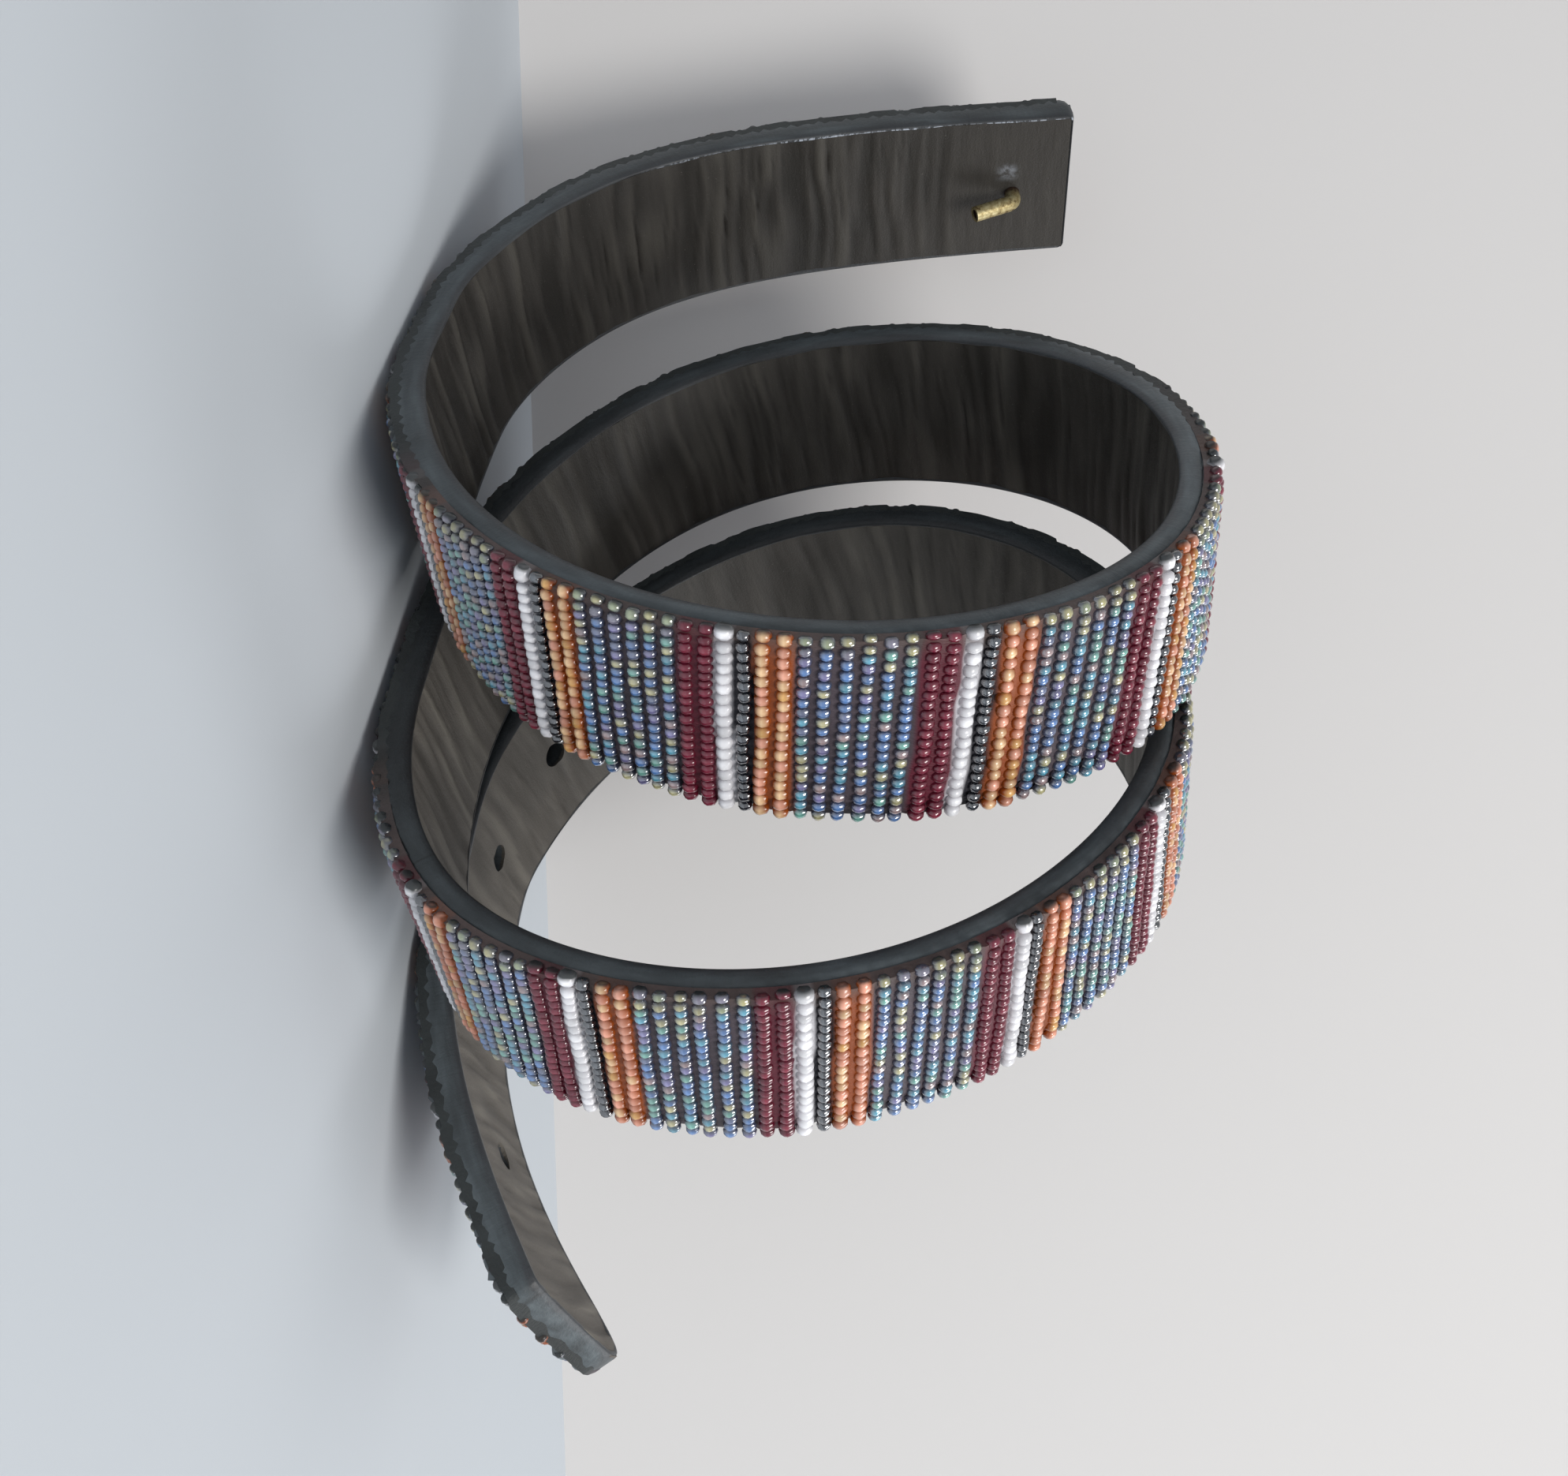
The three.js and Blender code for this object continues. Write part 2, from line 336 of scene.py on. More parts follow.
def cut_tail_holes(obj):
    """Round holes through the tail, cut together while the belt is flat."""
    bpy.ops.object.select_all(action="DESELECT")
    punches = []
    for s in HOLES_AT:
        place = (s, HOLE_ACROSS, LEATHER_OUTER / 2)
        bpy.ops.mesh.primitive_cylinder_add(vertices=24, radius=HOLE_DIAMETER / 2, depth=20.0, location=place)
        punches.append(bpy.context.object)
    for punch in punches:
        punch.select_set(True)
    bpy.ops.object.join()
    punch = bpy.context.object
    apply_modifier(obj, "BOOLEAN", operation="DIFFERENCE", object=punch, solver="EXACT")
    bpy.data.objects.remove(punch)


def narrow_to_outline(flat, margin):
    """Draws the sheet's width in to the belt's outline, so that the tail gets its point."""
    bottom, top = edges(flat[:, 0])
    share = (flat[:, 1] + BELT_WIDTH / 2) / BELT_WIDTH
    moved = flat.copy()
    moved[:, 1] = (bottom + margin) + share * (top - bottom - 2 * margin)
    return moved


def keep_values(obj, name, values):
    """Stores one number for each point of the mesh."""
    made = obj.data.attributes.new(name, "FLOAT", "POINT")
    made.data.foreach_set("value", np.asarray(values, np.float32))


def mend_faces(obj, smooth_angle):
    select_only(obj)
    bpy.ops.object.mode_set(mode="EDIT")
    bpy.ops.mesh.select_all(action="SELECT")
    bpy.ops.mesh.normals_make_consistent(inside=False)
    bpy.ops.object.mode_set(mode="OBJECT")
    bpy.ops.object.shade_smooth_by_angle(angle=math.radians(smooth_angle))


def belt_sheet(low, high, margin, rim, cells_along, cells_across, start):
    """A layer of the belt from height low to high, still flat: outlined, thickened, rimmed and punched."""
    end = POINT_START + TAIL_POINT[-1][0]
    sheet = flat_sheet(end - start, BELT_WIDTH, cells_along, cells_across, start)
    select_only(sheet)
    bpy.ops.object.mode_set(mode="EDIT")
    bpy.ops.mesh.select_all(action="SELECT")
    bpy.ops.transform.translate(value=(0.0, 0.0, low))
    bpy.ops.object.mode_set(mode="OBJECT")
    flat = narrow_to_outline(flat_points(sheet), margin)
    sheet.data.vertices.foreach_set("co", flat.ravel())
    sheet.data.update()
    apply_modifier(sheet, "SOLIDIFY", thickness=high - low, offset=1.0)
    if rim:
        corner = math.radians(50)
        apply_modifier(sheet, "BEVEL", width=rim, segments=4, limit_method="ANGLE", angle_limit=corner)
    cut_tail_holes(sheet)
    return sheet


# Finishes
def strap_finish():
    """Blue-grey edge paint over black leather: darker towards the lining, and smoother along the lining side
    near the square end, where a broken pale line is a painted highlight.
    """
    finish = Finish("strap_leather", roughness=0.42, specular_ior_level=0.45)
    along, across, height = finish.parts(finish.lay())
    cloud = finish.noise(finish.lay((0.10, 0.4, 0.5)), 1.0, 3.0)
    grain = finish.noise(finish.lay(), 2.2, 3.0, 0.6)
    tick = finish.noise(finish.lay((1.8, 0.15, 0.25)), 1.0, 2.0)
    colour = finish.ramp(cloud, [
        (0.25, (0.022, 0.026, 0.028)), (0.5, (0.038, 0.046, 0.050)), (0.78, (0.064, 0.077, 0.083)),
    ])
    colour = finish.blend(finish.step(height + cloud * 1.6, 2.3, 0.9) * 0.62, colour, (0.018, 0.017, 0.019))
    colour = finish.blend(tick * 0.30, colour, (0.020, 0.021, 0.022))
    # Painted light and shade along the belt, scaled into the colour.
    colour = finish.scaled(colour, finish.kept("pale"))
    crack = finish.hump(along, 503.0, 0.35) + finish.hump(along, 856.0, 0.4)
    colour = finish.blend(crack * 0.6, colour, (0.012, 0.012, 0.012))
    # Painted highlight: a broken line of pale glints near the square end, along the paint's lip on the lining
    # side; the paint is also smoother there.
    run = finish.hump(across, 12.90, 0.36) * finish.step(along, 80.0, 56.0) * finish.step(height, 0.5, 0.1)
    painted_glint = run * finish.step(finish.noise(finish.lay((0.7, 0.3, 0.3)), 1.0, 4.0, 0.75), 0.44, 0.56)
    finish.set("Base Color", finish.blend(painted_glint * 0.9, colour, (0.55, 0.60, 0.68)))
    finish.set("Roughness", 0.36 + grain * 0.20 - painted_glint * 0.2)
    finish.bump(grain * 0.6 + tick * 0.6, 0.30, 0.0004)
    return finish


def lining_finish():
    """Dark dressed leather with painted light and shade in its creases: paler on the ridges, darker in the
    valleys.
    """
    finish = Finish("lining_leather", roughness=0.62, specular_ior_level=0.35)
    along, across, _ = finish.parts(finish.lay())
    fold = finish.kept("fold")
    streak = finish.noise(finish.lay((0.42, 0.09, 0.05)), 1.0, 4.0, 0.6)
    stain = finish.noise(finish.lay((0.05, 0.12, 0.12)), 1.0, 3.0)
    grain = finish.noise(finish.lay(), 3.0, 3.0, 0.6)
    speck = finish.step(finish.noise(finish.lay(), 2.4, 1.0), 0.74, 0.78)
    # Painted shade in the crease valleys and painted light on their ridges, mixed with the leather's own
    # streaks.
    tone = streak * 0.35 + fold * 0.65
    colour = finish.ramp(tone, [
        (0.18, (0.010, 0.009, 0.007)), (0.5, (0.034, 0.031, 0.027)), (0.78, (0.070, 0.065, 0.055)),
    ])
    colour = finish.blend(stain * 0.45, colour, (0.040, 0.033, 0.026))
    # Painted light and shade along the belt, scaled into the colour.
    colour = finish.scaled(colour, finish.kept("pale"))
    colour = finish.blend(speck * 0.5, colour, (0.12, 0.11, 0.10))
    # A rubbed spot beside the hook: real wear, smoother here, with a painted sheen that makes it pale and
    # bluish.
    worn_spot_sheen = finish.hump(along, 10.4, 2.6) * finish.hump(across, 3.2, 2.2)
    worn_spot_sheen = worn_spot_sheen * finish.step(finish.noise(finish.lay(), 0.9, 3.0, 0.7), 0.30, 0.70)
    finish.set("Base Color", finish.blend(worn_spot_sheen * 0.8, colour, (0.26, 0.28, 0.31)))
    finish.set("Roughness", 0.46 + grain * 0.25 - worn_spot_sheen * 0.25)
    finish.bump(streak * 0.9 + grain * 0.35, 0.5, 0.0004)
    return finish


def bed_finish():
    """Thread and glue, in the colour kept at each point."""
    finish = Finish("bead_bed", roughness=0.55)
    finish.set("Base Color", finish.kept("tint", "Color"))
    finish.bump(finish.noise(finish.lay((1.0, 4.0, 1.0)), 1.5), 0.4, 0.0003)
    return finish


def bead_finish(name, gloss, **constants):
    """Glass under a glossy coat, which the edge paint hides where it covers a bead."""
    finish = Finish(name, **constants)
    finish.set("Coat Weight", finish.kept("bare") * gloss)
    finish.set("Base Color", finish.kept("tint", "Color"))
    return finish


def brass_finish():
    """Old brass: yellow where it is rubbed, brown in patches, and a less metallic dark brown low on the foot
    and inside the bore.
    """
    finish = Finish("tarnished_brass", metallic=0.85, roughness=0.35)
    patch = finish.noise(finish.lay(), 0.9, 4.0, 0.65)
    fine = finish.noise(finish.lay(), 4.0, 2.0)
    colour = finish.ramp(patch, [
        (0.34, (0.060, 0.034, 0.016)), (0.44, (0.330, 0.260, 0.120)), (0.66, (0.560, 0.490, 0.280)),
    ])
    soil = finish.kept("soil")
    finish.set("Base Color", finish.blend(soil, colour, (0.030, 0.014, 0.008)))
    finish.set("Metallic", 0.75 - soil * 0.6)
    finish.set("Roughness", 0.58 - patch * 0.3 + fine * 0.15)
    finish.bump(patch, 0.5, 0.0002)
    return finish


strap = strap_finish()
lining = lining_finish()


def strap_body():
    """The leather under the edge paint, rounded at its rims."""
    sheet = belt_sheet(0.35, 3.7, 0.30, 1.3, 430, 8, 0.15)
    flat = flat_points(sheet)
    put_points(sheet, wind(flat), flat)
    # Painted light and shade along the belt, kept for the finish.
    keep_values(sheet, "pale", along_belt(EDGE_PAINTED_LIGHT, flat[:, 0]))
    mend_faces(sheet, 38)
    dress(sheet, "strap_body", strap, "strap_leather", "leather_strap")


def creases(s, across):
    """Height of the lining's creases: they run across the belt, wander, fade and stop near the hook."""
    bent = s + 0.5 * np.sin(across / 4.5 + ripple(17, 900.0, 14.0)(s + 10) * 4.0)
    total = 0.60 * ripple(3, 920.0, 2.4)(bent + 10) + 0.45 * ripple(5, 920.0, 1.2)(bent + 10)
    for seed, step, lane in ((7, 1.9, -7.0), (8, 2.3, 1.0), (9, 2.1, 8.0)):
        off = across - lane + 3.0 * ripple(seed + 20, 900.0, 9.0)(s + 10)
        near = 0.25 + 0.65 * np.exp(-(off / 5.0) ** 2)
        total -= 1.25 * near * np.exp(-((ripple(seed, 920.0, step)(bent + 10) / 0.17) ** 2))
    total += 0.30
    for seed, centre in ((21, -9.0), (22, 0.0), (23, 9.0)):
        total += 0.80 * ripple(seed, 920.0, 1.8)(bent + 10) * np.exp(-((across - centre) / 5.0) ** 2)
    deep = np.interp(s, [0, 16, 26, 60, 140, 200, 400, 864], [0.0, 0.05, 0.75, 1.0, 0.95, 0.85, 0.7, 0.45])
    return total * deep


# Painted light on the lining: how much paler or darker it is made along the belt, following how the light
# falls, brightest on the third turn and the tail.
LINING_PAINTED_LIGHT = [
    (0.0, 1.0), (60.0, 0.90), (160.0, 0.85), (300.0, 0.95), (430.0, 1.4), (480.0, 1.9),
    (560.0, 1.7), (640.0, 1.5), (720.0, 1.9), (790.0, 2.2), (865.0, 3.2),
]


def lining_sheet():
    sheet = belt_sheet(0.0, 0.6, 0.55, 0.0, 1500, 14, 0.4)
    flat = flat_points(sheet)
    s, across, height = flat.T
    fold = creases(s, across)
    edge = np.clip((BELT_WIDTH / 2 - np.abs(across)) / 2.2, 0.25, 1.0)
    shaped = flat.copy()
    shaped[:, 2] -= (height < 0.4) * edge * np.clip(0.34 * fold, -0.25, 0.6)
    put_points(sheet, wind(shaped), flat)
    # The crease relief is also kept to paint shade and light into the lining's colour.
    keep_values(sheet, "fold", np.clip(0.5 + 0.55 * fold, 0.0, 1.0))
    # Painted light and shade along the belt, kept for the finish.
    keep_values(sheet, "pale", along_belt(LINING_PAINTED_LIGHT, s))
    mend_faces(sheet, 50)
    dress(sheet, "lining_sheet", lining, "lining_leather", "inner_lining")


def outline(step):
    """Points round the belt's outline, evenly spaced with softened corners, and their inward directions."""
    point = POINT_START + np.array([row[0] for row in TAIL_POINT])
    s = np.concatenate([np.arange(0.0, POINT_START, 1.0), point])
    bottom, top = edges(s)
    half = BELT_WIDTH / 2
    square_end = [(0.0, across) for across in np.linspace(-half, half, 28)]
    ring = np.array(square_end + list(zip(s[1:], top[1:])) + list(zip(s[::-1], bottom[::-1])))
    gone = np.concatenate([[0.0], np.cumsum(np.linalg.norm(np.diff(ring, axis=0), axis=1))])
    count = int(gone[-1] / step)
    at = np.arange(count) * gone[-1] / count
    even = np.stack([np.interp(at, gone, ring[:, 0]), np.interp(at, gone, ring[:, 1])], 1)
    soft = sum(np.roll(even, shift, axis=0) for shift in (-1, 0, 1)) / 3.0
    way = unit(np.roll(soft, -1, axis=0) - np.roll(soft, 1, axis=0))
    return soft, np.stack([way[:, 1], -way[:, 0]], 1)


# Section of the painted edge.
PAINT_SECTION = [
    # mm in from the outline, height on the upper edge, on the lower edge, lift where the paint is thick
    (0.75, 0.12, 0.12, 0.0), (0.50, -0.08, -0.08, 0.0), (0.22, -0.07, -0.07, 0.0), (0.04, 0.18, 0.18, 0.0),
    (-0.10, 1.00, 1.10, 0.0), (-0.12, 1.90, 2.20, 0.30), (0.00, 2.70, 3.30, 0.85), (0.35, 3.20, 3.80, 1.60),
    (0.90, 3.40, 3.90, 1.80), (1.25, 2.8, 3.0, 1.5), (1.25, 1.4, 1.4, 0.0),
]
# How thickly the paint lies over the heads of the columns, 0 to 1, along the belt.
PAINT_OVER = [
    (0.0, 1.0), (150.0, 1.0), (172.0, 0.0), (292.0, 0.0), (318.0, 1.0),
    (478.0, 1.0), (500.0, 0.0), (632.0, 0.0), (655.0, 1.0),
]
# Painted light and shade on the edge paint: how much paler or darker it is made along the belt, following how
# the light falls on each stretch.
EDGE_PAINTED_LIGHT = [
    (0.0, 1.4), (110.0, 1.7), (150.0, 1.8), (262.0, 1.8), (300.0, 2.6), (350.0, 1.8),
    (400.0, 1.2), (440.0, 0.6), (480.0, 0.50), (510.0, 1.0), (560.0, 1.8), (620.0, 1.6),
    (660.0, 0.9), (735.0, 0.7), (772.0, 0.8), (786.0, 2.0), (810.0, 1.7), (865.0, 2.2),
]


def along_belt(rows, s):
    """A table's value at s, in straight steps between its rows."""
    return np.interp(s, [row[0] for row in rows], [row[1] for row in rows])


def plain_ring(count, sides):
    """A closed ring of radius 10 made by spinning a circle of radius 1 once round."""
    bpy.ops.object.select_all(action="DESELECT")
    bpy.ops.mesh.primitive_circle_add(vertices=sides, radius=1.0)
    ring = bpy.context.object
    bpy.ops.object.mode_set(mode="EDIT")
    bpy.ops.mesh.select_all(action="SELECT")
    bpy.ops.transform.rotate(value=math.pi / 2, orient_axis="X", center_override=(0, 0, 0))
    bpy.ops.transform.translate(value=(10.0, 0.0, 0.0))
    bpy.ops.mesh.spin(steps=count, angle=2 * math.pi, center=(0.0, 0.0, 0.0), axis=(0.0, 0.0, 1.0))
    bpy.ops.mesh.select_all(action="SELECT")
    bpy.ops.mesh.remove_doubles(threshold=0.001)
    bpy.ops.object.mode_set(mode="OBJECT")
    return ring


def painted_edge():
    """Thick paint all round the rim: a ring drawn along the outline, lapping over the lining."""
    points, inward = outline(0.9)
    count, sides = len(points), len(PAINT_SECTION)
    edge = plain_ring(count, sides)
    s, across = points.T
    rise = np.clip((across + 2.0) / 6.0, 0.0, 1.0)
    rise[s > POINT_START] = 1.0
    wave = np.sin(2 * math.pi * (s - FIRST_WHITE) / COLUMN_PITCH)
    rough = ripple(31, 900.0, 2.4)(s + 5) + 0.6 * ripple(32, 900.0, 1.2)(s + 5)
    over = along_belt(PAINT_OVER, s)
    lap = 0.25 * ripple(33, 900.0, 6.0)(s + 5) + 0.25 * (s > 800) - 0.30 * (s < 0.5)
    corner = 0.55 * np.exp(-((s - 3.6) / 2.0) ** 2) * (across > 10)
    bumps = (0.08 + 0.34 * over) * wave + (0.12 + 0.42 * over) * rough + corner
    flat = np.zeros((count, sides, 3))
    for j, (deep, high_up, high_low, lift) in enumerate(PAINT_SECTION):
        height = (high_up + lift * over) * rise + high_low * (1 - rise)
        shoulder = np.clip((height - 2.0) / 1.2, 0.0, 1.0)
        reach = deep + (lap if j < 2 else 0.0) + 0.07 * rough * (j in (4, 5, 6))
        flat[:, j, :2] = points + inward * np.reshape(reach, (-1, 1))
        flat[:, j, 2] = height + shoulder * rise * bumps
    ring = flat_points(edge)
    step = np.round(np.arctan2(ring[:, 1], ring[:, 0]) / (2 * math.pi) * count).astype(int) % count
    beside = np.hypot(ring[:, 0], ring[:, 1]) - 10.0
    side = np.round(np.arctan2(ring[:, 2], beside) / (2 * math.pi) * sides).astype(int) % sides
    flat = flat[step, side]
    put_points(edge, wind(flat), flat)
    # Painted light and shade along the belt, kept for the finish.
    keep_values(edge, "pale", along_belt(EDGE_PAINTED_LIGHT, flat[:, 0]))
    mend_faces(edge, 60)
    dress(edge, "painted_edge", strap, "strap_leather", "leather_strap")


# Bead columns, twelve to a repeat, in order along the belt from the first white one.
COLUMN_PITCH = 2.2233
FIRST_WHITE = 105.34
FIRST_COLUMN = -45
LAST_COLUMN = 340
KINDS = ["white", "black"] + ["amber"] * 2 + ["iris"] * 6 + ["maroon"] * 2
BEADS = {
    # beads in a column, diameter, share of the length that one bead fills, height of the thread bed round it
    "white": {"count": 17, "wide": 2.28, "fill": 1.0, "bed": 5.05},
    "black": {"count": 18, "wide": 1.92, "fill": 0.90, "bed": 4.75},
    "amber": {"count": 17, "wide": 2.22, "fill": 1.02, "bed": 5.25},
    "iris": {"count": 19, "wide": 1.98, "fill": 0.95, "bed": 4.95},
    "maroon": {"count": 20, "wide": 2.18, "fill": 0.97, "bed": 5.25},
}
# Linear colours: the thread bed, the bead's flank, and its crowns with the weights of their chances. The
# flank is darker than the crown as painted shade; the crowns are the beads' own colours and coatings with a
# painted highlight; the bed copies the shaded gaps between the beads.
TINTS = {
    "white": {"bed": (0.50, 0.49, 0.52), "flank": (0.68, 0.67, 0.70), "crowns": [((0.90, 0.90, 0.93), 1.0)]},
    "black": {"bed": (0.012, 0.011, 0.018), "flank": (0.006, 0.008, 0.015), "crowns": [
        ((0.012, 0.016, 0.030), 0.6), ((0.035, 0.048, 0.070), 0.4)]},
    "amber": {"bed": (0.25, 0.052, 0.006), "flank": (0.30, 0.064, 0.008), "crowns": [
        ((0.90, 0.62, 0.36), 0.50), ((0.86, 0.43, 0.31), 0.35), ((0.78, 0.46, 0.17), 0.15)]},
    "iris": {"bed": (0.064, 0.048, 0.060), "flank": (0.056, 0.062, 0.100), "crowns": [
        ((0.09, 0.24, 0.58), 0.26), ((0.10, 0.40, 0.55), 0.20), ((0.18, 0.48, 0.40), 0.16),
        ((0.58, 0.54, 0.28), 0.12), ((0.22, 0.20, 0.44), 0.12), ((0.40, 0.28, 0.28), 0.09),
        ((0.14, 0.18, 0.34), 0.05)]},
    "maroon": {"bed": (0.090, 0.004, 0.016), "flank": (0.095, 0.004, 0.016), "crowns": [
        ((0.185, 0.010, 0.034), 0.7), ((0.24, 0.026, 0.052), 0.3)]},
}
GILT_CROWNS = [(0.50, 0.46, 0.20), (0.34, 0.40, 0.22), (0.24, 0.22, 0.30)]
PAINT_TINT = (0.026, 0.031, 0.031)
GLUE_TINT = (0.085, 0.058, 0.050)

# How the columns stray.
STRAY = [
    # place along the belt, mm that a column's middle moves along it, mm that its foot moves against its head
    (0.0, 0.0, 0.0), (158.0, 0.0, 0.3), (185.4, -0.3, 0.6), (212.1, -0.4, 0.3), (238.7, 0.5, -1.2),
    (265.4, 1.2, -2.7), (300.0, 0.6, -1.4), (340.0, 0.0, 0.0), (470.0, 0.0, 0.0), (505.5, 0.8, -1.2),
    (532.2, -0.4, -1.4), (558.9, -0.1, -0.7), (585.6, 0.5, -0.6), (612.3, 0.3, 0.6), (660.0, 0.0, 0.0),
    (865.0, 0.0, 0.0),
]


def stray(s, across):
    at = [row[0] for row in STRAY]
    shift = np.interp(s, at, [row[1] for row in STRAY])
    slant = np.interp(s, at, [row[2] for row in STRAY])
    return shift - slant * across / BELT_WIDTH + 0.22 * ripple(51, 900.0, 13.0)(s + 5.0)


CHANCE = np.random.default_rng(41)
# Where a bead's ten sides lie, in turns from its crown: closest on the crown, which is seen most.
BEAD_TURNS = np.radians([0, 26, 56, 90, 135, 180, -135, -90, -56, -26])


def bead_form():
    """One seed bead, thread along Y, diameter and length 1: a ball made into a barrel."""
    bpy.ops.object.select_all(action="DESELECT")
    bpy.ops.mesh.primitive_uv_sphere_add(segments=10, ring_count=6, radius=0.5)
    bead = bpy.context.object
    bpy.ops.object.mode_set(mode="EDIT")
    bpy.ops.mesh.select_all(action="SELECT")
    bpy.ops.transform.rotate(value=math.pi / 2, orient_axis="X", center_override=(0, 0, 0))
    bpy.ops.object.mode_set(mode="OBJECT")
    points = flat_points(bead)
    reach = np.abs(points[:, 1]) * 2
    around = np.hypot(points[:, 0], points[:, 2]) * 2
    barrel_reach = np.interp(reach, [0.0, 0.5, 0.866, 1.0], [0.0, 0.56, 0.96, 0.86])
    barrel_round = np.interp(reach, [0.0, 0.5, 0.866, 1.0], [1.0, 0.93, 0.62, 0.0])
    place = np.round((np.arctan2(points[:, 2], points[:, 0]) / (2 * math.pi) * 10)).astype(int) % 10
    turn = BEAD_TURNS[place]
    radius = np.where(around > 1e-6, barrel_round, 0.0) / 2
    thread = np.sign(points[:, 1]) * barrel_reach / 2
    points = np.stack([radius * np.sin(turn), thread, radius * np.cos(turn)], 1)
    faces = [tuple(face.vertices) for face in bead.data.polygons]
    bpy.data.objects.remove(bead)
    return points, faces


BEAD_POINTS, BEAD_FACES = bead_form()


def column_places(kind, s):
    """Centres (along, across, height), tilts, diameters and lengths of a column's beads, lower edge first."""
    rule = BEADS[kind]
    bottom, top = (float(v) for v in edges(s))
    bottom -= 0.20 + CHANCE.uniform(-0.15, 0.15)
    covered = along_belt(PAINT_OVER, s)
    top += 0.80 - 0.80 * covered - CHANCE.uniform(0.0, 0.50)
    count = max(1, round(rule["count"] * (top - bottom) / BELT_WIDTH))
    lengths = CHANCE.uniform(0.84, 1.16, count)
    if kind == "white":
        lengths[-1] *= 1.3
    lengths *= (top - bottom) / lengths.sum()
    centres = bottom + np.cumsum(lengths) - lengths / 2
    sway = ripple(int(CHANCE.integers(1, 10**6)), 40.0, 7.0)(centres + 16.0) * 0.16
    along = s + stray(s, centres) + sway + CHANCE.normal(0.0, 0.035, count)
    wide = rule["wide"] * CHANCE.uniform(0.93, 1.05, count)
    over = np.maximum(0.0, np.abs(centres) - (BELT_WIDTH / 2 - 1.5))
    height = LEATHER_OUTER + 1.0 + CHANCE.uniform(-0.04, 0.04, count) - (0.16 + 0.12 * covered) * over**2
    tilt = -np.sign(centres) * 0.30 * over
    if kind == "white":
        wide[-1] *= 1.10
        centres[-1] += 0.35 * (1.0 - covered)
    if covered > 0.5:
        wide[-1] *= 0.86
    return np.stack([along, centres, height], 1), tilt, wide, lengths * rule["fill"]


def bead_tints(kind, count, along, across):
    """A colour for each point of each bead: a paler crown, seen from outside, over a darker flank and darker
    ends, as painted light and shade on each bead.
    """
    rule = TINTS[kind]
    crowns = np.array([colour for colour, _ in rule["crowns"]])
    weights = np.array([weight for _, weight in rule["crowns"]])
    picked = crowns[CHANCE.choice(len(crowns), count, p=weights / weights.sum())]
    if kind == "iris":
        gilt = np.array(GILT_CROWNS)[CHANCE.choice(3, count, p=[0.5, 0.3, 0.2])]
        picked = np.where((across > 11.8)[:, None], gilt, picked)
    if kind == "amber":
        pink = (CHANCE.uniform(0.0, 1.0, count) < 0.45) & (along > 450)
        picked = np.where(pink[:, None], np.array([[0.86, 0.40, 0.28]]), picked)
    picked = picked * CHANCE.uniform(0.70, 1.20, (count, 1))
    # Painted light and shade: the crown is lit, and the sides and the ends towards the next beads are shaded.
    turn = np.abs(np.arctan2(BEAD_POINTS[:, 0], BEAD_POINTS[:, 2]))
    lit_crown = np.interp(np.degrees(turn), [0, 26, 56, 90], [1.0, 0.80, 0.20, 0.0])
    lit_crown *= np.interp(np.abs(BEAD_POINTS[:, 1]) * 2, [0.0, 0.56, 0.96], [1.0, 0.92, 0.25])
    # For amber the crown is also the bead's own pale core.
    if kind == "amber":
        lit_crown = np.interp(np.degrees(turn), [0, 26, 56, 90], [1.0, 0.66, 0.0, 0.0])
        lit_crown *= np.interp(np.abs(BEAD_POINTS[:, 1]) * 2, [0.0, 0.56, 0.96], [1.0, 0.95, 0.6])
    flank = np.array(rule["flank"]) * CHANCE.uniform(0.8, 1.2, (count, 1))
    return flank[:, None] * (1 - lit_crown[None, :, None]) + picked[:, None] * lit_crown[None, :, None]


def joined_beads(name, points):
    """One mesh with a bead's faces for each row of points, in metres."""
    count, size = points.shape[:2]
    loops = np.array([i for face in BEAD_FACES for i in face])
    all_loops = (loops[None] + np.arange(count)[:, None] * size).ravel()
    all_totals = np.tile([len(face) for face in BEAD_FACES], count)
    starts = np.concatenate([[0], np.cumsum(all_totals)[:-1]])
    mesh = bpy.data.meshes.new(name)
    mesh.vertices.add(count * size)
    mesh.vertices.foreach_set("co", points.astype(np.float32).ravel())
    mesh.loops.add(len(all_loops))
    mesh.loops.foreach_set("vertex_index", all_loops.astype(np.int32))
    mesh.polygons.add(len(all_totals))
    mesh.polygons.foreach_set("loop_start", starts.astype(np.int32))
    mesh.polygons.foreach_set("use_smooth", np.ones(len(all_totals), bool))
    mesh.update(calc_edges=True)
    mesh.validate()
    return mesh


